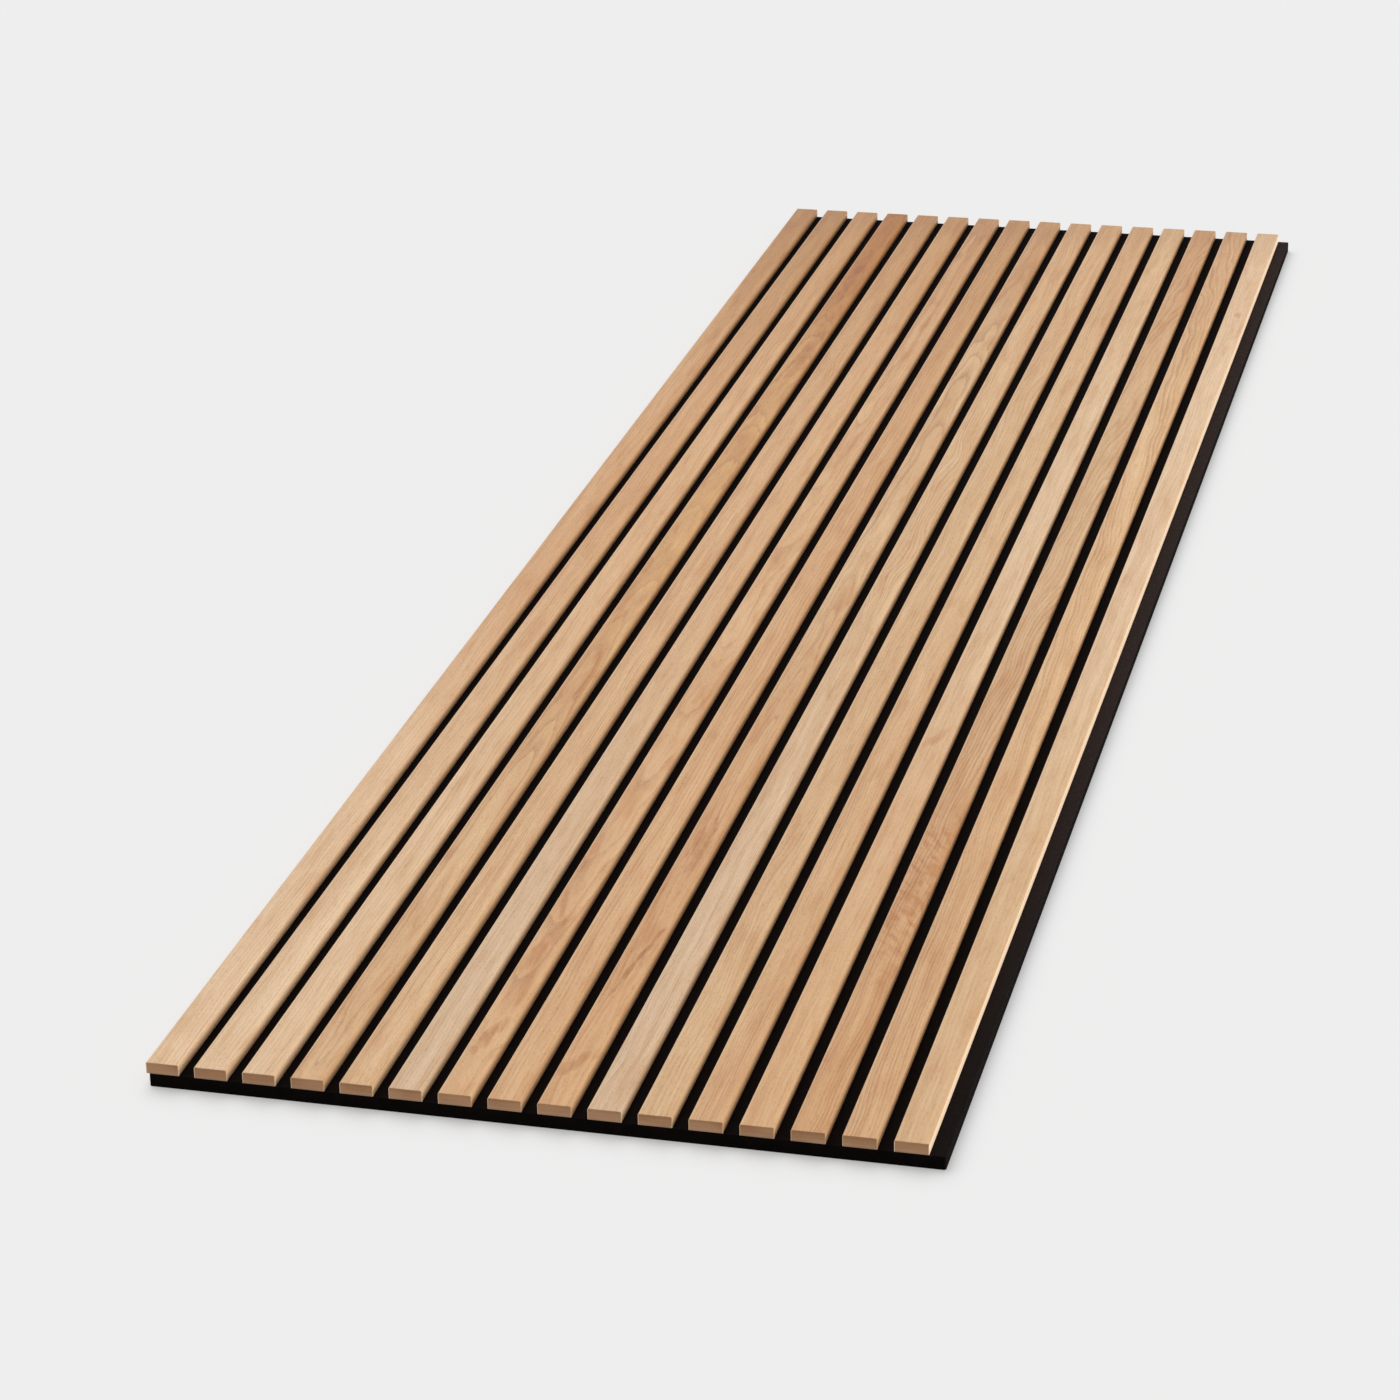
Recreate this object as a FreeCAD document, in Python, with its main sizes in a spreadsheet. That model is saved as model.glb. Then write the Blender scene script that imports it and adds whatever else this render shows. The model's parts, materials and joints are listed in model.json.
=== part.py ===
import FreeCAD, Part
import os
import Sketcher
from FreeCAD import Vector

# Acoustic slat wall panel, lying on its back as it would on a bench.
# A sheet of pressed felt carries a row of slats. Each slat is an MDF core with a
# wood veneer wrapped over its face and both long edges. The slats are glued down
# and stapled through the felt from behind. The felt stands out past the last slat
# by one gap, so that the next panel keeps the same rhythm.
# Frame: +X across the slats towards the felt tongue, +Y along them, +Z out of the
# wall towards the room. The origin is the middle of the back of the panel.

SIZES = {
    "panel_length": 2400,
    # The slats: how many, how far apart from edge to same edge, and how wide.
    "slat_count": 16,
    "slat_pitch": 40,
    "slat_width": 27,
    # One slat's section: the core, the veneer round it, and the core's eased edges.
    "core_thickness": 9,
    "veneer_thickness": 0.6,
    "core_edge_radius": 0.6,
    # The felt: its thickness, how far its edge lies in from the first slat's side,
    # and the rounding of its four corners.
    "felt_thickness": 11.4,
    "felt_setback": 2,
    "felt_corner_radius": 2,
    # The staples of one slat, and how far the first and last lie from its ends.
    "staples_per_slat": 5,
    "staple_end_margin": 30,
    # One staple: its crown, its flat wire, how deep the crown is sunk into the
    # felt's back, how far the legs bite into the core, and the room round it.
    "staple_crown_width": 12.8,
    "staple_wire_width": 0.95,
    "staple_wire_thickness": 0.65,
    "staple_sink": 1,
    "staple_bite": 5.6,
    "staple_clearance": 0.05,
}

doc = FreeCAD.newDocument("acoustic_slat_panel")
sheet = doc.addObject("Spreadsheet::Sheet", "Sizes")
for row, (alias, value) in enumerate(SIZES.items(), start=1):
    sheet.set(f"A{row}", alias)
    sheet.set(f"B{row}", str(value))
    sheet.setAlias(f"B{row}", alias)
doc.recompute()

# Sizes that follow from the ones above, as expressions on the sheet.
PANEL_WIDTH = "Sizes.slat_count * Sizes.slat_pitch"
FELT_WIDTH = f"{PANEL_WIDTH} - Sizes.felt_setback"
CORE_WIDTH = "Sizes.slat_width - 2 * Sizes.veneer_thickness"
SLAT_THICKNESS = "Sizes.core_thickness + Sizes.veneer_thickness"
VENEER_EDGE_RADIUS = "Sizes.core_edge_radius + Sizes.veneer_thickness"
STAPLE_STEP = "(Sizes.panel_length - 2 * Sizes.staple_end_margin) / (Sizes.staples_per_slat - 1)"
STAPLE_HEIGHT = "Sizes.felt_thickness + Sizes.staple_bite - Sizes.staple_sink"
# What the felt and the core leave open for a staple is its own size and the clearance.
CROWN_SLOT_WIDTH = "Sizes.staple_crown_width + 2 * Sizes.staple_clearance"
CROWN_SLOT_DEPTH = "Sizes.staple_sink + Sizes.staple_wire_thickness + Sizes.staple_clearance"
LEG_SLOT_WIDTH = "Sizes.staple_wire_thickness + 2 * Sizes.staple_clearance"
LEG_SLOT_LENGTH = "Sizes.staple_wire_width + 2 * Sizes.staple_clearance"
LEG_SLOT_START = f"Sizes.staple_end_margin - ({LEG_SLOT_LENGTH}) / 2"


def new_body(name):
    body = doc.addObject("PartDesign::Body", name)
    body.Label = name
    return body


def origin_feature(body, role):
    for feature in body.Origin.OriginFeatures:
        if feature.Role == role:
            return feature
    raise ValueError(f"{body.Label} has no {role}")


def sketch_on(body, role, name):
    sketch = body.newObject("Sketcher::SketchObject", name)
    sketch.AttachmentSupport = (origin_feature(body, role), [""])
    sketch.MapMode = "FlatFace"
    return sketch


def dimension(sketch, name, kind, from_point, to_point, size):
    """Drive the distance between two points of a sketch by an expression."""
    constraint = Sketcher.Constraint(kind, *from_point, *to_point, 1.0)
    index = sketch.addConstraint(constraint)
    sketch.renameConstraint(index, name)
    sketch.setExpression(f"Constraints.{name}", size)


def draw_outline(sketch, corners):
    """Close a loop of level and upright lines and return each one's number."""
    first = sketch.GeometryCount
    count = len(corners)
    lines = [first + side for side in range(count)]
    for side, start in enumerate(corners):
        end = corners[(side + 1) % count]
        sketch.addGeometry(Part.LineSegment(Vector(*start, 0), Vector(*end, 0)))
        kind = "Horizontal" if start[1] == end[1] else "Vertical"
        sketch.addConstraint(Sketcher.Constraint(kind, lines[side]))
    for side in range(count):
        following = lines[(side + 1) % count]
        sketch.addConstraint(Sketcher.Constraint("Coincident", lines[side], 2, following, 1))
    return lines


def draw_rectangle(sketch, name, width, height, left=None, low=None):
    """A rectangle that starts on the sketch's axes, or left and low of them inwards."""
    bottom, right, _, _ = draw_outline(sketch, [(1, 1), (2, 1), (2, 2), (1, 2)])
    origin = (-1, 1)
    if left is None:
        sketch.addConstraint(Sketcher.Constraint("PointOnObject", bottom, 1, -2))
    else:
        dimension(sketch, f"{name}_left", "DistanceX", origin, (bottom, 1), left)
    if low is None:
        sketch.addConstraint(Sketcher.Constraint("PointOnObject", bottom, 1, -1))
    else:
        dimension(sketch, f"{name}_low", "DistanceY", origin, (bottom, 1), low)
    dimension(sketch, f"{name}_width", "DistanceX", (bottom, 1), (bottom, 2), width)
    dimension(sketch, f"{name}_height", "DistanceY", (right, 1), (right, 2), height)


def extrude(body, kind, name, sketch, length, is_reversed=False):
    feature = body.newObject(f"PartDesign::{kind}", name)
    feature.Profile = sketch
    feature.setExpression("Length", length)
    feature.Reversed = is_reversed
    return feature


def fillet_edges(body, name, is_wanted, radius):
    """Round the edges of the body's last feature that a test picks."""
    doc.recompute()
    base = body.Tip
    edges = enumerate(base.Shape.Edges, start=1)
    names = [f"Edge{number}" for number, edge in edges if is_wanted(edge.BoundBox)]
    fillet = body.newObject("PartDesign::Fillet", name)
    fillet.Base = (base, names)
    fillet.setExpression("Radius", radius)
    return fillet


def is_long_edge_at(height):
    """True for the two edges that run the slat's length at a height above its foot."""
    def test(box):
        runs_along = box.YLength > box.XLength + box.ZLength
        return runs_along and abs(box.ZMin - height) < 1e-6 and abs(box.ZMax - height) < 1e-6
    return test


def linear_pattern(body, name, axis, spacing, count):
    pattern = body.newObject("PartDesign::LinearPattern", name)
    pattern.Direction = (origin_feature(body, axis), [""])
    pattern.Mode = "Spacing"
    pattern.setExpression("Offset", spacing)
    pattern.setExpression("Occurrences", count)
    return pattern


def repeat_along_slat(body, name, features):
    """Repeat one staple's features at every staple of a slat."""
    along = linear_pattern(body, name, "Y_Axis", STAPLE_STEP, "Sizes.staples_per_slat")
    along.Originals = features
    body.Tip = along


def repeat_on_every_slat(body, name, features):
    """Repeat one staple's features at every staple of every slat.

    The copies never touch, so there are no flush faces to merge.
    """
    grid = body.newObject("PartDesign::MultiTransform", name)
    grid.Originals = features
    grid.Refine = False
    along = linear_pattern(body, f"{name}_along", "Y_Axis", STAPLE_STEP, "Sizes.staples_per_slat")
    across = linear_pattern(body, f"{name}_across", "X_Axis", "Sizes.slat_pitch", "Sizes.slat_count")
    grid.Transformations = [along, across]
    body.Tip = grid


def draw_leg_slots(sketch, staple_centre):
    """The two leg openings of the first staple, either side of its centre."""
    start = f"{staple_centre} - ({CROWN_SLOT_WIDTH}) / 2"
    end = f"{staple_centre} + ({CROWN_SLOT_WIDTH}) / 2 - ({LEG_SLOT_WIDTH})"
    for name, left in (("first_leg", start), ("second_leg", end)):
        draw_rectangle(sketch, name, LEG_SLOT_WIDTH, LEG_SLOT_LENGTH, left, LEG_SLOT_START)


def place(body, x, y, z):
    body.setExpression("Placement.Base.x", x)
    body.setExpression("Placement.Base.y", y)
    body.setExpression("Placement.Base.z", z)


# Felt backing: one sheet, cut square, with its corners just rounded. Each staple
# leaves a sunk slot for its crown in the back and two leg slots right through.
def make_felt_backing():
    body = new_body("felt_backing")
    outline = sketch_on(body, "XY_Plane", "felt_outline")
    draw_rectangle(outline, "sheet", FELT_WIDTH, "Sizes.panel_length")
    extrude(body, "Pad", "felt_sheet", outline, "Sizes.felt_thickness")
    fillet_edges(body, "felt_corners", lambda box: box.ZLength > box.XLength + box.YLength,
                 "Sizes.felt_corner_radius")
    staple_centre = "Sizes.slat_width / 2 - Sizes.felt_setback"
    crown = sketch_on(body, "XY_Plane", "crown_slot_outline")
    draw_rectangle(crown, "crown", CROWN_SLOT_WIDTH, LEG_SLOT_LENGTH,
                   f"{staple_centre} - ({CROWN_SLOT_WIDTH}) / 2", LEG_SLOT_START)
    crown_slot = extrude(body, "Pocket", "crown_slot", crown, CROWN_SLOT_DEPTH, is_reversed=True)
    legs = sketch_on(body, "XY_Plane", "leg_slot_outline")
    draw_leg_slots(legs, staple_centre)
    leg_slots = extrude(body, "Pocket", "leg_slots", legs, "Sizes.felt_thickness", is_reversed=True)
    repeat_on_every_slat(body, "staple_slots", [crown_slot, leg_slots])
    place(body, f"Sizes.felt_setback - {PANEL_WIDTH} / 2", "-Sizes.panel_length / 2", "0")
    return body


def slat_left(number):
    """Where a slat's left side stands; slat 1 is the one at the panel's left side."""
    return f"{number - 1} * Sizes.slat_pitch - {PANEL_WIDTH} / 2"


# Slat core: a square-cut MDF strip with its two face edges eased, and blind slots
# in its back where the staple legs bite.
def make_slat_core(number):
    body = new_body(f"slat_core_{number:02d}")
    section = sketch_on(body, "XZ_Plane", f"core_section_{number:02d}")
    draw_rectangle(section, "core", CORE_WIDTH, "Sizes.core_thickness")
    extrude(body, "Pad", f"core_strip_{number:02d}", section, "Sizes.panel_length",
            is_reversed=True)
    fillet_edges(body, f"core_edges_{number:02d}", is_long_edge_at(sheet.core_thickness),
                 "Sizes.core_edge_radius")
    legs = sketch_on(body, "XY_Plane", f"leg_outline_{number:02d}")
    draw_leg_slots(legs, f"({CORE_WIDTH}) / 2")
    leg_slots = extrude(body, "Pocket", f"leg_bite_{number:02d}", legs,
                        "Sizes.staple_bite + Sizes.staple_clearance", is_reversed=True)
    repeat_along_slat(body, f"leg_bites_{number:02d}", [leg_slots])
    place(body, f"{slat_left(number)} + Sizes.veneer_thickness", "-Sizes.panel_length / 2",
          "Sizes.felt_thickness")
    return body


# Slat veneer: one sheet of wood wrapped over the core's face and folded down both
# long sides to the felt. The cut ends stay bare.
def make_slat_veneer(number):
    body = new_body(f"slat_veneer_{number:02d}")
    section = sketch_on(body, "XZ_Plane", f"slat_section_{number:02d}")
    draw_rectangle(section, "slat", "Sizes.slat_width", SLAT_THICKNESS)
    extrude(body, "Pad", f"slat_strip_{number:02d}", section, "Sizes.panel_length",
            is_reversed=True)
    top = sheet.core_thickness + sheet.veneer_thickness
    fillet_edges(body, f"slat_edges_{number:02d}", is_long_edge_at(top), VENEER_EDGE_RADIUS)
    inside = sketch_on(body, "XZ_Plane", f"core_space_{number:02d}")
    draw_rectangle(inside, "space", CORE_WIDTH, "Sizes.core_thickness", "Sizes.veneer_thickness")
    extrude(body, "Pocket", f"core_cut_{number:02d}", inside, "Sizes.panel_length")
    fillet_edges(body, f"inner_edges_{number:02d}", is_long_edge_at(sheet.core_thickness),
                 "Sizes.core_edge_radius")
    place(body, slat_left(number), "-Sizes.panel_length / 2", "Sizes.felt_thickness")
    return body


# Staples: flat steel wire bent to a square U, legs towards the room.
def make_staples():
    body = new_body("staples")
    body.AllowCompound = True
    section = sketch_on(body, "XZ_Plane", "staple_outline")
    lines = draw_outline(section, [(1, 1), (5, 1), (5, 5), (4, 5), (4, 2), (2, 2), (2, 5), (1, 5)])
    crown, right, right_tip, right_inside, _, _, left_tip, left = lines
    sizes = (
        ("left", "DistanceX", (-1, 1), (crown, 1), "(Sizes.slat_width - Sizes.staple_crown_width) / 2"),
        ("sink", "DistanceY", (-1, 1), (crown, 1), "Sizes.staple_sink"),
        ("width", "DistanceX", (crown, 1), (crown, 2), "Sizes.staple_crown_width"),
        ("height", "DistanceY", (right, 1), (right, 2), STAPLE_HEIGHT),
        ("right_leg", "DistanceX", (right_tip, 2), (right_tip, 1), "Sizes.staple_wire_thickness"),
        ("left_leg", "DistanceX", (left_tip, 2), (left_tip, 1), "Sizes.staple_wire_thickness"),
        ("crown", "DistanceY", (crown, 2), (right_inside, 2), "Sizes.staple_wire_thickness"),
    )
    for name, kind, from_point, to_point, size in sizes:
        dimension(section, name, kind, from_point, to_point, size)
    section.addConstraint(Sketcher.Constraint("Equal", left, right))
    wire = extrude(body, "Pad", "staple_wire", section, "Sizes.staple_wire_width")
    wire.SideType = "Symmetric"
    repeat_on_every_slat(body, "staple_rows", [wire])
    place(body, f"-{PANEL_WIDTH} / 2", "Sizes.staple_end_margin - Sizes.panel_length / 2", "0")
    return body


slat_numbers = range(1, int(sheet.slat_count) + 1)
pieces = [make_felt_backing(), make_staples()]
pieces += [make_slat_core(number) for number in slat_numbers]
pieces += [make_slat_veneer(number) for number in slat_numbers]
doc.recompute()

for item in doc.Objects:
    if "Invalid" in item.State or "Error" in item.State:
        raise RuntimeError(f"{item.Label} was not made: {item.State}")
    if item.TypeId == "PartDesign::Pocket" and item.Shape.Volume >= item.BaseFeature.Shape.Volume:
        raise RuntimeError(f"{item.Label} cuts nothing")
shapes = {piece.Label: piece.Shape for piece in pieces}
for name, shape in shapes.items():
    if shape.isNull() or not shape.isValid():
        raise RuntimeError(f"{name} has no valid shape")

os.makedirs("parts", exist_ok=True)
for name, shape in shapes.items():
    shape.exportStep(f"parts/{name}.step")
    box = shape.BoundBox
    print(f"{name}: {len(shape.Solids)} solid(s), {shape.Volume:.1f} mm3,"
          f" X {box.XMin:.2f} to {box.XMax:.2f}, Y {box.YMin:.2f} to {box.YMax:.2f},"
          f" Z {box.ZMin:.2f} to {box.ZMax:.2f}")
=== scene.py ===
import json
import math
import bpy
from mathutils import Matrix, Quaternion, Vector

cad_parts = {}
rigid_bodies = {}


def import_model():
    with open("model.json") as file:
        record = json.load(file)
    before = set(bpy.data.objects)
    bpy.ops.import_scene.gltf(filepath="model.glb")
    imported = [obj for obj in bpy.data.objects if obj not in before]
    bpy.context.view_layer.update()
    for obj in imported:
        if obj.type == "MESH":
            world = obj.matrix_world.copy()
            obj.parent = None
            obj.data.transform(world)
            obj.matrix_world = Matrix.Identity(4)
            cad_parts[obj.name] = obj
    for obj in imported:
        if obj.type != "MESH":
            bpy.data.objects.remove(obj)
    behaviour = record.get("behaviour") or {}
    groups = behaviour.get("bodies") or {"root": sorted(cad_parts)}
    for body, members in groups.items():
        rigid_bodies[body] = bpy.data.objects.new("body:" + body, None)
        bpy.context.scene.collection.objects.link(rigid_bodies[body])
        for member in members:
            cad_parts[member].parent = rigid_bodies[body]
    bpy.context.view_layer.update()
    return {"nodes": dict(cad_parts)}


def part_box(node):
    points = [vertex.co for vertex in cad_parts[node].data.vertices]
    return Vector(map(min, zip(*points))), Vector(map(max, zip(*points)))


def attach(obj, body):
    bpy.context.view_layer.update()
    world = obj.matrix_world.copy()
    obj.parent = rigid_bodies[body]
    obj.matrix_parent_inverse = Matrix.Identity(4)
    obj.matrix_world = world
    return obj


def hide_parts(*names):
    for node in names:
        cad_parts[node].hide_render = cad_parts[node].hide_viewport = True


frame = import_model()
nodes = frame["nodes"]
MM = 0.001

# Felt backing. One sheet of polyester fibre, pressed dense and cut square, in a
# deep charcoal, kept darkest between the slats as painted shade. It carries every slat
# and stands out past the last one as a tongue for the next panel to meet.
felt_low, felt_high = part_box("felt_backing")
slats = sorted(name for name in nodes if name.startswith("slat_veneer_"))
tongue_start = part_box(slats[-1])[1].x


class Signal:
    """One output socket of a node tree. A sum on it adds its Math nodes."""

    def __init__(self, tree, socket):
        self.tree = tree
        self.socket = socket

    def add(self, kind, settings=None, values=None, output=0):
        """Add a node: its settings first, then the values or links of its sockets."""
        node = self.tree.nodes.new(kind)
        for name, value in (settings or {}).items():
            setattr(node, name, value)
        for name, value in (values or {}).items():
            links = value if isinstance(value, list) else [value]
            for link in links:
                if isinstance(link, Signal):
                    self.tree.links.new(link.socket, node.inputs[name])
                else:
                    node.inputs[name].default_value = link
        return Signal(self.tree, node.outputs[output])

    def math(self, operation, first, second=0.0):
        return self.add("ShaderNodeMath", {"operation": operation}, {0: first, 1: second})

    def __add__(self, other):
        return self.math("ADD", self, other)

    def __radd__(self, other):
        return self.math("ADD", other, self)

    def __sub__(self, other):
        return self.math("SUBTRACT", self, other)

    def __rsub__(self, other):
        return self.math("SUBTRACT", other, self)

    def __mul__(self, other):
        return self.math("MULTIPLY", self, other)

    def __rmul__(self, other):
        return self.math("MULTIPLY", other, self)

    def __truediv__(self, other):
        return self.math("DIVIDE", self, other)

    def __pow__(self, other):
        return self.math("POWER", self, other)

    def __abs__(self):
        return self.math("ABSOLUTE", self)

    def fade(self, low, high):
        """0 where the signal is at low, 1 where it is at high, and smooth between."""
        return self.add("ShaderNodeMapRange", {"interpolation_type": "SMOOTHSTEP"},
                        {"Value": self, "From Min": low, "From Max": high})


def new_surface(name, roughness, specular):
    """A material with its shader, and the place on the part in millimetres."""
    material = bpy.data.materials.new(name)
    material.use_nodes = True
    tree = material.node_tree
    shader = tree.nodes["Principled BSDF"]
    shader.inputs["Roughness"].default_value = roughness
    shader.inputs["Specular IOR Level"].default_value = specular
    coordinates = tree.nodes.new("ShaderNodeTexCoord")
    place = Signal(tree, coordinates.outputs["Object"])
    place = place.add("ShaderNodeVectorMath", {"operation": "SCALE"}, {0: place, "Scale": 1 / MM})
    split = tree.nodes.new("ShaderNodeSeparateXYZ")
    tree.links.new(place.socket, split.inputs[0])
    return material, shader, [Signal(tree, split.outputs[axis]) for axis in range(3)]


def feed(shader, socket, signal):
    signal.tree.links.new(signal.socket, shader.inputs[socket])


def noise(x, y, z, detail=2.0, roughness=0.5):
    """Smooth noise from 0 to 1 about one unit across, at any mix of signals and numbers."""
    place = x.add("ShaderNodeCombineXYZ", None, {0: x, 1: y, 2: z})
    return place.add("ShaderNodeTexNoise", {"noise_dimensions": "3D"},
                     {"Vector": place, "Scale": 1.0, "Detail": detail, "Roughness": roughness})


def paint(red, green, blue):
    """A colour as it looks on a screen, 0 to 255, turned into light."""
    def light(value):
        share = value / 255
        return share / 12.92 if share <= 0.04045 else ((share + 0.055) / 1.055) ** 2.4
    return (light(red), light(green), light(blue), 1.0)


def tint(share, first, second, blend="MIX"):
    """Mix two colours by a signal."""
    return share.add("ShaderNodeMix", {"data_type": "RGBA", "blend_type": blend},
                     {0: share, 6: first, 7: second}, output=2)


def bump(shader, height, depth, strength=1.0):
    """Raise a surface by a signal of 0 to 1, depth being in metres."""
    relief = height.add("ShaderNodeBump", None,
                        {"Height": height, "Distance": depth, "Strength": strength})
    feed(shader, "Normal", relief)


def felt_surface(name, deep, pale, worn_and_lit):
    material, shader, (x, y, z) = new_surface(name, roughness=0.95, specular=0.02)
    shader.inputs["Sheen Weight"].default_value = 0.01
    shader.inputs["Sheen Roughness"].default_value = 0.6
    clumps = noise(x / 9, y / 9, z / 9, detail=3)
    strands = noise(x / 1.1 + clumps * 5, y / 1.6, z / 1.1, detail=4, roughness=0.7)
    specks = noise(x / 0.35, y / 0.35, z / 0.35, detail=1).fade(0.66, 0.8)
    tone = strands.fade(0.3, 0.75) * 0.6 + clumps.fade(0.3, 0.7) * 0.25 + specks * 0.5
    colour = tint(tone, deep, pale)
    # Painted shade: only the tongue and the back turn to the paler tone, so the felt between the slats
    # stays dark; the tongue's paleness fades out towards the near end.
    start, top = tongue_start / MM, felt_high.z / MM
    tongue = x.fade(start - 2, start + 2) * z.fade(top - 3.4, top - 0.4)
    tongue = tongue * (y.fade(-1300.0, -100.0) * 0.9 + 0.1)
    back = z.fade(0.4, 0.0) * strands.fade(0.35, 0.7)
    colour = tint(tongue + back, colour, worn_and_lit)
    feed(shader, "Base Color", colour)
    bump(shader, strands + specks * 0.4, 0.9 * MM)
    return material


# The tongue and the back are paler than the felt between the slats, partly wear and
# partly painted light: the darker felt between the slats is painted shade.
pressed_felt = felt_surface("pressed felt", deep=paint(3, 2, 2), pale=paint(22, 14, 12),
                            worn_and_lit=paint(42, 33, 31))
nodes["felt_backing"].data.materials.clear()
nodes["felt_backing"].data.materials.append(pressed_felt)


def new_tree(name, *inputs):
    """A geometry tree with named inputs, and a signal for each of them."""
    tree = bpy.data.node_groups.new(name, "GeometryNodeTree")
    tree.interface.new_socket("Geometry", in_out="INPUT", socket_type="NodeSocketGeometry")
    for label, kind in inputs:
        tree.interface.new_socket(label, in_out="INPUT", socket_type=f"NodeSocket{kind}")
    tree.interface.new_socket("Geometry", in_out="OUTPUT", socket_type="NodeSocketGeometry")
    source = tree.nodes.new("NodeGroupInput")
    return tree, [Signal(tree, socket) for socket in source.outputs[:len(inputs) + 1]]


def close_tree(geometry, finish):
    """End a tree: real geometry in place of instances, then its material."""
    solid = geometry.add("GeometryNodeRealizeInstances", None, {"Geometry": geometry})
    solid = solid.add("GeometryNodeSetMaterial", None, {"Geometry": solid, "Material": finish})
    target = solid.tree.nodes.new("NodeGroupOutput")
    solid.tree.links.new(solid.socket, target.inputs[0])


def grow(name, data, tree, values, finishing=()):
    """Run a tree on a shape, finish it with modifiers, and keep the plain mesh."""
    source = bpy.data.objects.new(f"{name} source", data)
    bpy.context.scene.collection.objects.link(source)
    modifier = source.modifiers.new("growth", "NODES")
    modifier.node_group = tree
    for item in tree.interface.items_tree:
        if item.in_out == "INPUT" and item.name in values:
            modifier[item.identifier] = values[item.name]
    for kind, settings in finishing:
        extra = source.modifiers.new(kind.lower(), kind)
        for setting, value in settings.items():
            setattr(extra, setting, value)
    bpy.context.view_layer.update()
    evaluated = source.evaluated_get(bpy.context.evaluated_depsgraph_get())
    mesh = bpy.data.meshes.new_from_object(evaluated)
    bpy.data.objects.remove(source)
    piece = bpy.data.objects.new(name, mesh)
    bpy.context.scene.collection.objects.link(piece)
    return piece


def fibre_tree():
    """Loose fibres, each a thin bent thread, strewn flat over the faces of a shape."""
    tree, (skin, density, length, thickness, finish) = new_tree(
        "loose fibres", ("Fibres per Square Metre", "Float"), ("Fibre Length", "Float"),
        ("Fibre Thickness", "Float"), ("Finish", "Material"))
    fuzz = skin.add("GeometryNodeInputNamedAttribute", {"data_type": "FLOAT"}, {"Name": "fuzz"})
    points = skin.add("GeometryNodeDistributePointsOnFaces", {"distribute_method": "RANDOM"},
                      {"Mesh": skin, "Density": density * fuzz, "Seed": 7})
    facing = Signal(tree, points.socket.node.outputs["Rotation"])
    half = length * 0.5
    bow = length * 0.22
    lift = length * 0.05
    ends = [skin.add("ShaderNodeCombineXYZ", None, {0: half * side}) for side in (-1, 1)]
    middle = skin.add("ShaderNodeCombineXYZ", None, {1: bow, 2: lift})
    arc = skin.add("GeometryNodeCurveQuadraticBezier", None,
                   {"Resolution": 3, "Start": ends[0], "Middle": middle, "End": ends[1]})
    section = skin.add("GeometryNodeCurvePrimitiveCircle", None,
                       {"Resolution": 3, "Radius": thickness * 0.5})
    thread = arc.add("GeometryNodeCurveToMesh", None, {"Curve": arc, "Profile Curve": section})
    tilt = 0.12
    lean = skin.add("FunctionNodeRandomValue", {"data_type": "FLOAT_VECTOR"},
                    {0: Vector((-tilt, -tilt, 0.0)), 1: Vector((tilt, tilt, math.tau)), "Seed": 11})
    size = skin.add("FunctionNodeRandomValue", {"data_type": "FLOAT"},
                    {2: 0.45, 3: 1.3, "Seed": 13}, output=1)
    spin = lean.add("FunctionNodeEulerToRotation", None, {0: lean})
    facing = facing.add("FunctionNodeRotateRotation", {"rotation_space": "LOCAL"},
                        {"Rotation": facing, "Rotate By": spin})
    strewn = points.add("GeometryNodeInstanceOnPoints", None,
                        {"Points": points, "Instance": thread, "Rotation": facing, "Scale": size})
    close_tree(strewn, finish)
    return tree


GAP_FUZZ = 0.35
OPEN_FUZZ = 1.0
CUT_FUZZ = 2.0


def felt_skin():
    """The faces of the felt that can be seen, each with its share of loose fibres: few
    in the gaps, more on the tongue and the long edges, and most at the cut ends."""
    rim = 0.8 * MM
    left, right = felt_low.x, felt_high.x
    near, far = felt_low.y + rim, felt_high.y - rim
    low, top = felt_low.z + 2.5 * MM, felt_high.z
    patches = []
    floors = [(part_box(a)[1].x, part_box(b)[0].x, GAP_FUZZ) for a, b in zip(slats, slats[1:])]
    floors.append((tongue_start, right, OPEN_FUZZ))
    for start, end, fuzz in floors:
        start, end = start + rim, end - rim
        floor = [(start, near, top), (end, near, top), (end, far, top), (start, far, top)]
        patches.append((floor, fuzz))
    high = top - rim
    for x, order in ((right, 1), (left, -1)):
        edge = [(x, near, low), (x, far, low), (x, far, high), (x, near, high)]
        patches.append((edge[::order], OPEN_FUZZ))
    start, end = left + rim, right - rim
    for y, order in ((felt_low.y, 1), (felt_high.y, -1)):
        cut = [(start, y, low), (end, y, low), (end, y, high), (start, y, high)]
        patches.append((cut[::order], CUT_FUZZ))
    mesh = bpy.data.meshes.new("felt skin")
    corners = [corner for patch, _ in patches for corner in patch]
    faces = [range(4 * index, 4 * index + 4) for index in range(len(patches))]
    mesh.from_pydata(corners, [], faces)
    fuzz = mesh.attributes.new("fuzz", "FLOAT", "FACE")
    fuzz.data.foreach_set("value", [share for _, share in patches])
    return mesh


loose_felt = felt_surface("felt fibres", deep=paint(14, 10, 9), pale=paint(50, 40, 37),
                          worn_and_lit=paint(112, 98, 93))
fibres = grow("felt_fibres", felt_skin(), fibre_tree(), {
    "Fibres per Square Metre": 42000.0, "Fibre Length": 3.2 * MM, "Fibre Thickness": 0.09 * MM,
    "Finish": loose_felt})
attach(fibres, "root")


# Slat cores. MDF ripped into strips and sawn square at both ends, where it is the
# only part that shows: a brown, even board, denser and darker near its faces, with
# short fibres and the faint upright tracks of the saw.
core_low, core_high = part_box("slat_core_01")


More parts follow.
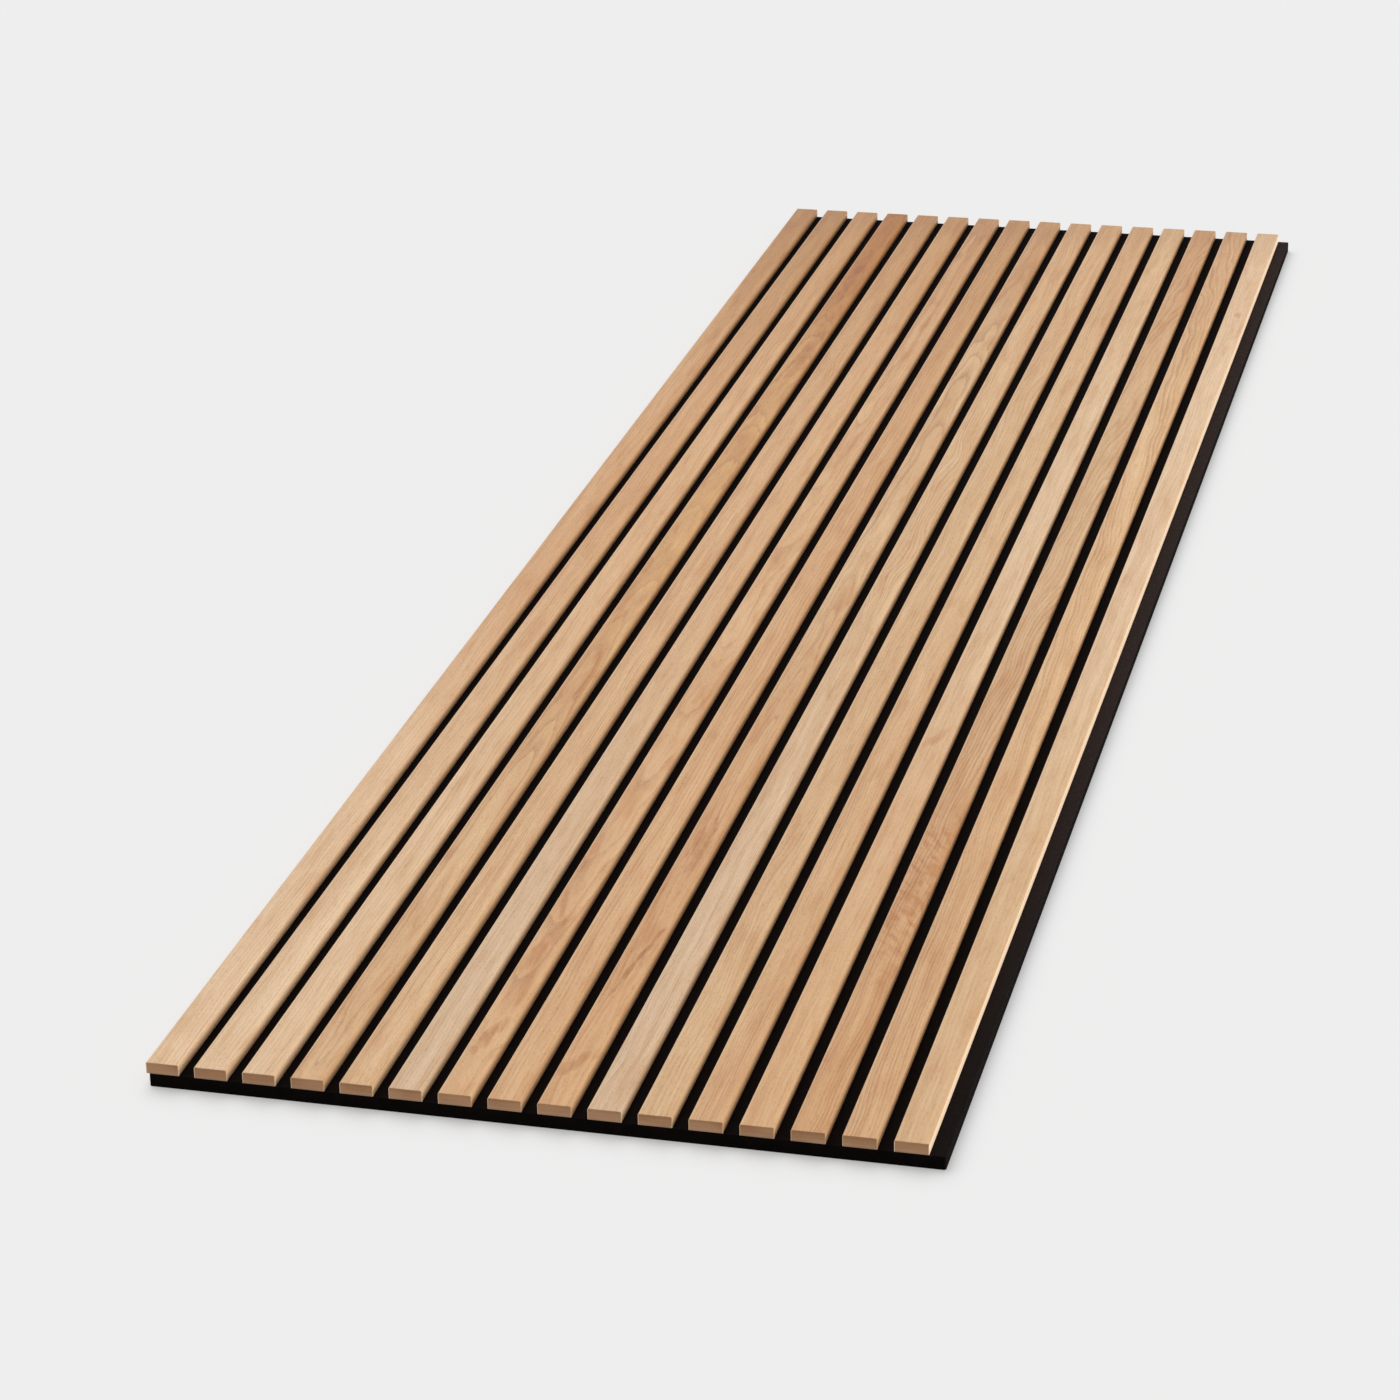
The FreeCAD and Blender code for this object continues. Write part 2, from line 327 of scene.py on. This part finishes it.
def board_surface():
    material, shader, (x, y, z) = new_surface("sawn board", roughness=0.8, specular=0.25)
    foot, face = core_low.z / MM, core_high.z / MM
    skin = z.fade(foot + 2.0, foot) + z.fade(face - 3.2, face - 0.4)
    crumbs = noise(x / 0.5, y / 0.5, z / 0.3, detail=3, roughness=0.7)
    flakes = noise(x / 2.2, y / 2.2, z / 0.6, detail=2)
    saw = noise(x / 0.35, y / 40, z / 9, detail=1)
    wide = noise(x / 38, y / 90, z / 12, detail=1)
    colour = tint(crumbs.fade(0.3, 0.75) * 0.7 + flakes * 0.3, paint(136, 94, 60), paint(210, 158, 115))
    colour = tint(z.fade(face - 4.5, foot + 1.0) * 0.55, colour, paint(180, 152, 128))
    colour = tint(skin * 0.35, colour, paint(140, 100, 74))
    colour = tint(wide.fade(0.35, 0.7) * 0.35, colour, paint(208, 164, 128))
    feed(shader, "Base Color", colour)
    bump(shader, crumbs * 0.6 + saw * 0.4, 0.12 * MM)
    return material


board = board_surface()
for name, node in nodes.items():
    if name.startswith("slat_core_"):
        node.data.materials.clear()
        node.data.materials.append(board)


# Slat veneers. Each slat is wrapped in one leaf of oak veneer, 0.6 mm thick, rolled
# over its face and down both long sides to the felt, then sanded and oiled. The
# leaves come from different logs, so each slat has a tone and a figure of its own.
TONES = {
    "oat": paint(218, 185, 148),
    "straw": paint(215, 182, 144),
    "apricot": paint(216, 176, 129),
    "grey cream": paint(207, 176, 142),
    "putty": paint(203, 171, 136),
    "wheat": paint(210, 172, 128),
    "sand": paint(206, 168, 124),
    "peach": paint(205, 162, 116),
    "amber": paint(201, 155, 107),
    "ochre": paint(199, 152, 97),
    "honey": paint(193, 147, 99),
    "copper": paint(188, 140, 88),
    "toast": paint(178, 130, 76),
    "russet": paint(172, 112, 40),
}
# What the grain does to the tone under it, as shares of red, green and blue light.
DARK_GRAIN = (0.56, 0.42, 0.3, 1.0)
RED_GRAIN = (0.8, 0.62, 0.44, 1.0)
LIGHT_GRAIN = (1.14, 1.21, 1.31, 1.0)
PORE = (0.36, 0.26, 0.18, 1.0)
# The last stretch before the far end is a shade deeper on every slat. The pale colour
# below is painted light: it pales the long sides, the last slat's most, and lays a painted
# highlight along the left edge of each face.
FAR_END = (0.86, 0.82, 0.77, 1.0)
PAINTED_SIDE_LIGHT = paint(252, 222, 188)


def leaf(near, middle, far, heart=-60.0, depth=30.0, taper=0.01, ring=3.4, contrast=0.35,
         streaks=0.5, mottle=0.35, sway=1.0, ripple=0.0, side=0.2, marks=()):
    """One leaf of veneer. Its tones at the near end, the middle and the far end come
    first. heart and depth say where the middle of the log lay beside and below the
    slat, and taper how the cut climbs through the rings. ring is their width and sway
    how far the grain wanders. side is how far painted light pales the long sides, marks
    is a list of soft dark marks, and the rest are strengths."""
    return {"tones": (near, middle, far), "heart": heart, "depth": depth, "taper": taper,
            "ring": ring, "contrast": contrast, "streaks": streaks, "mottle": mottle,
            "sway": sway, "ripple": ripple, "side": side, "marks": marks}


# A mark is its place along and across the slat, its half length and half width, how
# far it leans sideways for each millimetre along, and how dark it is.
LEAVES = (
    leaf("oat", "amber", "toast", heart=-80, contrast=0.38, streaks=0.45, mottle=0.4),
    leaf("straw", "amber", "toast", heart=70, contrast=0.33, streaks=0.45),
    leaf("straw", "peach", "copper", heart=-55, contrast=0.38, streaks=0.4),
    leaf("sand", "ochre", "russet", heart=2, depth=26, taper=0.03, contrast=0.68, mottle=0.65,
         streaks=0.4, marks=((620, 3, 150, 10, 0.02, 0.5), (930, -2, 120, 9, 0.0, 0.6))),
    leaf("wheat", "peach", "copper", heart=48, ring=2.4, contrast=0.78, streaks=0.9),
    leaf("putty", "peach", "copper", heart=-90, contrast=0.3, streaks=0.3),
    leaf("peach", "peach", "honey", heart=-5, depth=18, taper=-0.025, contrast=0.58, mottle=0.65,
         streaks=0.3, marks=((-930, 2, 55, 8, 0.1, 0.45), (-1100, 0, 38, 8, 0.2, 0.7),
                             (-860, -4, 40, 3, -0.2, 0.45))),
    leaf("peach", "amber", "copper", heart=60, contrast=0.5, streaks=0.6),
    leaf("amber", "sand", "honey", heart=4, depth=12, taper=0.022, contrast=0.63, mottle=0.55,
         streaks=0.3, marks=((-720, 0, 60, 8, 0.0, 0.5), (-950, 1, 75, 3, 0.12, 1.05),
                             (-1130, 0, 30, 10, 0.5, 0.6))),
    leaf("grey cream", "wheat", "peach", heart=-42, ring=2.2, contrast=0.68, streaks=0.8, sway=2.5),
    leaf("sand", "sand", "peach", heart=66, contrast=0.43, streaks=0.45, sway=2.0),
    leaf("peach", "wheat", "peach", heart=-50, ring=2.2, contrast=0.58, streaks=0.9),
    leaf("peach", "straw", "wheat", heart=85, contrast=0.33, streaks=0.35,
         marks=((-450, 0, 24, 7, 0.3, 0.38),)),
    leaf("amber", "sand", "amber", heart=44, depth=62, taper=0.034, ring=2.6, contrast=0.7,
         streaks=0.7, mottle=0.45, ripple=1.0),
    leaf("peach", "apricot", "peach", heart=-46, depth=50, taper=0.03, ring=2.6, contrast=0.82,
         streaks=0.85),
    # The last slat's side takes the full painted side light.
    leaf("sand", "oat", "oat", heart=95, contrast=0.3, streaks=0.3, side=1.0,
         marks=((860, 2, 14, 5, 0.0, 0.5),)),
)
VENEER = 0.6 * MM
EDGE_RADIUS = 1.2 * MM
# Places along the slats, in millimetres from their middle, between which one tone
# turns into the next, and between which the waves of a rippled leaf come and go.
NEAR_TO_MIDDLE = (-1050.0, 150.0)
MIDDLE_TO_FAR = (350.0, 1100.0)
LAST_STRETCH = (1040.0, 1190.0)
WAVES_START = (-980.0, -860.0)
WAVES_END = (-560.0, -700.0)


def growth_rings(across, along, seed, cut):
    """How many rings lie between a point of the leaf and the heart of the log."""
    sway = (noise(along / 230, across / 60, seed, detail=1) - 0.5) * 16 * cut["sway"]
    swell = noise(along / 150, across / 40, seed + 3.1, detail=1) * 14 - 7
    side = across - cut["heart"] + sway
    below = along * cut["taper"] + swell + cut["depth"]
    radius = (side * side + below * below) ** 0.5
    return (radius + noise(across / 6, along / 70, seed + 5.7) * 2.2) / cut["ring"]


def soft_spots(across, along, seed, marks):
    """Marks in the wood, each strongest in its middle and fading out to ragged edges."""
    bend = noise(along / 60, across / 30, seed + 12.6, detail=1) * 12 - 6
    ragged = noise(across / 5, along / 20, seed + 13.4, detail=3) * 3.0 - 1.5
    spots = 0.0
    for at, off, half_length, half_width, lean, strength in marks:
        ahead = along - at
        over = (across + bend - off - ahead * lean) / half_width
        ahead = ahead / half_length
        reach = over * over + ahead * ahead + ragged
        spots = reach.fade(1.2, -0.2) * strength + spots
    return spots


def veneer_surface(number, cut):
    name = f"oak leaf {number:02d}"
    material, shader, (x, y, z) = new_surface(name, roughness=0.5, specular=0.25)
    low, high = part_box(f"slat_veneer_{number:02d}")
    seed = number * 17.3
    middle = (low.x + high.x) / 2 / MM
    half_width = (high.x - low.x) / 2 / MM
    drop = high.z / MM - z
    off_centre = x - middle
    side = off_centre.math("SIGN", off_centre)
    across = off_centre + side * drop

    rings = growth_rings(across, y, seed, cut)
    turn = rings.math("FRACT", rings)
    early = (1 - turn) ** 2.2 * turn.fade(0.0, 0.1)
    year = noise(rings / 1.7, y / 900, seed + 9.4, detail=1)
    grain = across + noise(y / 260, across / 50, seed + 11.2, detail=1) * 10 * cut["sway"]
    fibre = noise(grain / 0.8, y / 110, seed + 1.3, detail=3, roughness=0.65)
    band = noise(rings * cut["ring"] / 7, y / 420, seed + 2.9, detail=1)
    cloud = noise(across / 16, y / 85, seed + 4.2, detail=2)
    fleck = noise(grain / 1.0, y / 10, seed + 6.6, detail=2, roughness=0.6)
    pores = noise(grain / 0.26, y / 3.6, seed + 8.1, detail=1)
    pores = pores.fade(0.6, 0.68) * (early * 0.75 + 0.25)

    near, middle_tone, far = [TONES[tone] for tone in cut["tones"]]
    colour = tint(y.fade(*NEAR_TO_MIDDLE), near, middle_tone)
    colour = tint(y.fade(*MIDDLE_TO_FAR), colour, far)
    colour = tint(y.fade(*LAST_STRETCH), colour, FAR_END, blend="MULTIPLY")
    dark = early * year.fade(0.25, 0.75) * cut["contrast"] + fleck.fade(0.55, 0.8) * 0.42
    dark = dark + fibre.fade(0.42, 0.8) * cut["streaks"] * 0.4
    blush = noise(grain / 3.2, y / 48, seed + 14.9, detail=2)
    red = band.fade(0.35, 0.7) * cut["mottle"] * 0.7 + cloud.fade(0.5, 0.75) * cut["mottle"]
    red = red + blush.fade(0.5, 0.72) * 0.28
    light = band.fade(0.5, 0.25) * 0.3 + cloud.fade(0.48, 0.25) * cut["mottle"] * 0.8
    light = light + fibre.fade(0.45, 0.2) * cut["streaks"] * 0.6 + fleck.fade(0.42, 0.2) * 0.5
    light = light + blush.fade(0.48, 0.26) * 0.3
    if cut["ripple"]:
        wave = noise(across / 12, (y + across * 1.2) / 13, seed + 7.7, detail=2)
        waved = y.fade(*WAVES_START) * y.fade(*WAVES_END)
        red = red + wave.fade(0.42, 0.72) * waved * cut["ripple"] * 0.8
    if cut["marks"]:
        spots = soft_spots(across, y, seed, cut["marks"])
        red = red + spots
        dark = dark + spots * 0.3
    for share, grain_colour in ((dark, DARK_GRAIN), (red, RED_GRAIN), (light, LIGHT_GRAIN),
                                (pores * 0.8, PORE)):
        colour = tint(share, colour, grain_colour, blend="MULTIPLY")
    # Painted light: the long sides are paled by the leaf's side share, and a painted highlight runs along
    # the left edge of the face only.
    folded = abs(across).fade(half_width + 0.4, half_width + 1.8)
    rim = across.fade(2.4 - half_width, 0.8 - half_width)
    feed(shader, "Base Color", tint(folded * cut["side"] + rim * 0.2, colour, PAINTED_SIDE_LIGHT))
    feed(shader, "Roughness", 0.42 + pores * 0.25 + fibre * 0.12)
    bump(shader, fibre * 0.25 - pores + early * 0.15, 0.06 * MM)
    return material


def wrap_tree():
    """A leaf folded round a slat: a bent outline, drawn out along the slat."""
    tree, (outline, radius, steps, length, finish) = new_tree(
        "veneer wrap", ("Edge Radius", "Float"), ("Fold Steps", "Int"), ("Slat Length", "Float"),
        ("Finish", "Material"))
    folded = outline.add("GeometryNodeFilletCurve", {"mode": "POLY"},
                         {"Curve": outline, "Radius": radius, "Count": steps, "Limit Radius": True})
    edge = folded.add("GeometryNodeCurveToMesh", None, {"Curve": folded})
    run = edge.add("ShaderNodeCombineXYZ", None, {1: length})
    sheet = edge.add("GeometryNodeExtrudeMesh", {"mode": "EDGES"},
                     {"Mesh": edge, "Offset": run, "Offset Scale": 1.0})
    close_tree(sheet, finish)
    return tree


def slat_outline(low, high):
    """The open outline of a slat's section: up one side, over the face and down."""
    curve = bpy.data.curves.new("slat outline", "CURVE")
    curve.dimensions = "3D"
    corners = [(high.x, low.z), (high.x, high.z), (low.x, high.z), (low.x, low.z)]
    line = curve.splines.new("POLY")
    line.points.add(len(corners) - 1)
    for point, (x, z) in zip(line.points, corners):
        point.co = (x, low.y, z, 1.0)
    return curve


veneer_wrap = wrap_tree()
for number, cut in enumerate(LEAVES, start=1):
    low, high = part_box(f"slat_veneer_{number:02d}")
    wrap = grow(f"oak_leaf_{number:02d}", slat_outline(low, high), veneer_wrap, {
        "Edge Radius": EDGE_RADIUS, "Fold Steps": 5, "Slat Length": high.y - low.y,
        "Finish": veneer_surface(number, cut),
    }, finishing=(
        ("SOLIDIFY", {"thickness": VENEER, "offset": -1.0, "use_even_offset": True}),
        ("BEVEL", {"width": 0.08 * MM, "segments": 1, "angle_limit": math.radians(60)}),
    ))
    wrap.data.shade_smooth()
    wrap.data.set_sharp_from_angle(angle=math.radians(35))
    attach(wrap, "root")
    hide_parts(f"slat_veneer_{number:02d}")


# Staples. Galvanised wire, flattened and bent to a U, driven from behind through the
# felt into each core before the glue sets. Their crowns lie just below the felt's back.
staple_low, staple_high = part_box("staples")


def steel_surface():
    material, shader, (x, y, z) = new_surface("galvanised wire", roughness=0.35, specular=0.5)
    shader.inputs["Metallic"].default_value = 1.0
    drawn = noise(x / 2.5, y / 0.12, z / 2.5, detail=2)
    dull = noise(x / 1.4, y / 1.4, z / 1.4, detail=2)
    feed(shader, "Base Color", tint(dull.fade(0.3, 0.7), paint(150, 152, 154), paint(196, 197, 196)))
    feed(shader, "Roughness", 0.28 + drawn * 0.2 + dull * 0.12)
    bump(shader, drawn, 0.01 * MM)
    return material


def staple_line(half_crown, low, high):
    """The middle line of one staple's wire: down a leg, along the crown and up again."""
    curve = bpy.data.curves.new("staple line", "CURVE")
    curve.dimensions = "3D"
    line = curve.splines.new("POLY")
    line.points.add(3)
    corners = [(-half_crown, high), (-half_crown, low), (half_crown, low), (half_crown, high)]
    for point, (x, z) in zip(line.points, corners):
        point.co = (x, 0.0, z, 1.0)
    return curve


def staple_tree():
    """Rows of staples: flat wire swept along a bent line, one at each point of a grid."""
    tree, (line, bend, width, thickness, rows, columns, size_x, size_y, finish) = new_tree(
        "staple rows", ("Bend Radius", "Float"), ("Wire Width", "Float"), ("Wire Thickness", "Float"),
        ("Staples Along", "Int"), ("Slats Across", "Int"), ("Spread Across", "Float"),
        ("Spread Along", "Float"), ("Finish", "Material"))
    bent = line.add("GeometryNodeFilletCurve", {"mode": "POLY"},
                    {"Curve": line, "Radius": bend, "Count": 5, "Limit Radius": True})
    bent = bent.add("GeometryNodeSetCurveNormal", {"mode": "FREE"},
                    {"Curve": bent, "Normal": Vector((0, 1, 0))})
    section = line.add("GeometryNodeCurvePrimitiveQuadrilateral", {"mode": "RECTANGLE"},
                       {"Width": width, "Height": thickness})
    wire = bent.add("GeometryNodeCurveToMesh", None,
                    {"Curve": bent, "Profile Curve": section, "Fill Caps": True})
    grid = line.add("GeometryNodeMeshGrid", None,
                    {"Size X": size_x, "Size Y": size_y, "Vertices X": columns, "Vertices Y": rows})
    close_tree(grid.add("GeometryNodeInstanceOnPoints", None, {"Points": grid, "Instance": wire}), finish)
    return tree


WIRE_WIDTH = 0.95 * MM
WIRE_THICKNESS = 0.65 * MM
CROWN = 12.8 * MM
STAPLES_PER_SLAT = 5
spread_across = staple_high.x - staple_low.x - CROWN
spread_along = staple_high.y - staple_low.y - WIRE_WIDTH
wire_line = staple_line((CROWN - WIRE_THICKNESS) / 2, staple_low.z + WIRE_THICKNESS / 2, staple_high.z)
staples = grow("staple_rows", wire_line, staple_tree(), {
    "Bend Radius": 0.7 * MM, "Wire Width": WIRE_WIDTH, "Wire Thickness": WIRE_THICKNESS,
    "Staples Along": STAPLES_PER_SLAT, "Slats Across": len(LEAVES),
    "Spread Across": spread_across, "Spread Along": spread_along, "Finish": steel_surface()})
middle_x = (staple_low.x + staple_high.x) / 2
staples.data.transform(Matrix.Translation((middle_x, (staple_low.y + staple_high.y) / 2, 0)))
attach(staples, "root")
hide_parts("staples")


# Stage. A plain pale floor under a soft white room: an even dome, one high and broad
# lamp from behind on the left that drops the short soft shadow, and a low one from the
# right that lights the panel alone, so that no second shadow falls on the floor.
BACKGROUND = paint(238, 238, 238)
DOME = 0.335
BACK_SHARE = 0.465
SIDE_SHARE = 0.24
TABLE_GLOW = 0.36


def floor_surface():
    material, shader, _ = new_surface("light table", roughness=1.0, specular=0.0)
    lit = (1 - TABLE_GLOW) / (DOME + BACK_SHARE)
    shader.inputs["Base Color"].default_value = [channel * lit for channel in BACKGROUND[:3]] + [1.0]
    shader.inputs["Emission Color"].default_value = BACKGROUND
    shader.inputs["Emission Strength"].default_value = TABLE_GLOW
    return material


FLOOR_REACH = 30.0
FLOOR_LEVEL = -0.1 * MM
floor_mesh = bpy.data.meshes.new("floor")
corners = [(-1, -1), (1, -1), (1, 1), (-1, 1)]
corners = [(x * FLOOR_REACH, y * FLOOR_REACH, FLOOR_LEVEL) for x, y in corners]
floor_mesh.from_pydata(corners, [], [(0, 1, 2, 3)])
floor_mesh.materials.append(floor_surface())
floor = bpy.data.objects.new("floor", floor_mesh)
bpy.context.scene.collection.objects.link(floor)

world = bpy.data.worlds.new("studio")
bpy.context.scene.world = world
world.use_nodes = True
dome = world.node_tree.nodes["Background"]
sight = world.node_tree.nodes.new("ShaderNodeLightPath")
seen = Signal(world.node_tree, sight.outputs["Is Camera Ray"])
seen = seen.math("MAXIMUM", seen, Signal(world.node_tree, sight.outputs["Is Glossy Ray"]))
seen = seen.math("MAXIMUM", seen, Signal(world.node_tree, sight.outputs["Is Transmission Ray"]))
feed(dome, "Color", tint(seen, (1.0, 1.0, 1.0, 1.0), BACKGROUND))
feed(dome, "Strength", seen * (1 - DOME) + DOME)


def add_lamp(name, azimuth, elevation, share, softness):
    """A far lamp, turned from +X towards +Y and raised, that lights a level face by a share."""
    lamp = bpy.data.lights.new(name, "SUN")
    lamp.energy = share * math.pi / math.sin(math.radians(elevation))
    lamp.angle = math.radians(softness)
    holder = bpy.data.objects.new(name, lamp)
    bpy.context.scene.collection.objects.link(holder)
    turn, rise = math.radians(azimuth), math.radians(elevation)
    towards = Vector((math.cos(turn) * math.cos(rise), math.sin(turn) * math.cos(rise), math.sin(rise)))
    holder.rotation_euler = towards.to_track_quat("Z", "Y").to_euler()
    holder.location = towards * 3
    return holder


add_lamp("back lamp", azimuth=125, elevation=54, share=BACK_SHARE, softness=62)
side_lamp = add_lamp("side lamp", azimuth=0, elevation=18, share=SIDE_SHARE, softness=30)
panel = bpy.data.collections.new("lit from the side")
for piece in bpy.context.scene.objects:
    if piece.type == "MESH" and piece is not floor:
        panel.objects.link(piece)
side_lamp.light_linking.receiver_collection = panel

camera = bpy.data.cameras.new("camera")
camera.sensor_fit = "HORIZONTAL"
camera.sensor_width = 36.0
camera.lens = 106.18
viewer = bpy.data.objects.new("camera", camera)
bpy.context.scene.collection.objects.link(viewer)
viewer.location = (0.80187, -3.88794, 1.55749)
sight_line = Vector((-0.22147, 0.89205, -0.39395))
roll = Quaternion((0, 0, 1), math.radians(-0.931))
viewer.rotation_euler = (sight_line.to_track_quat("-Z", "Y") @ roll).to_euler()
bpy.context.scene.camera = viewer
bpy.context.scene.view_settings.view_transform = "Standard"
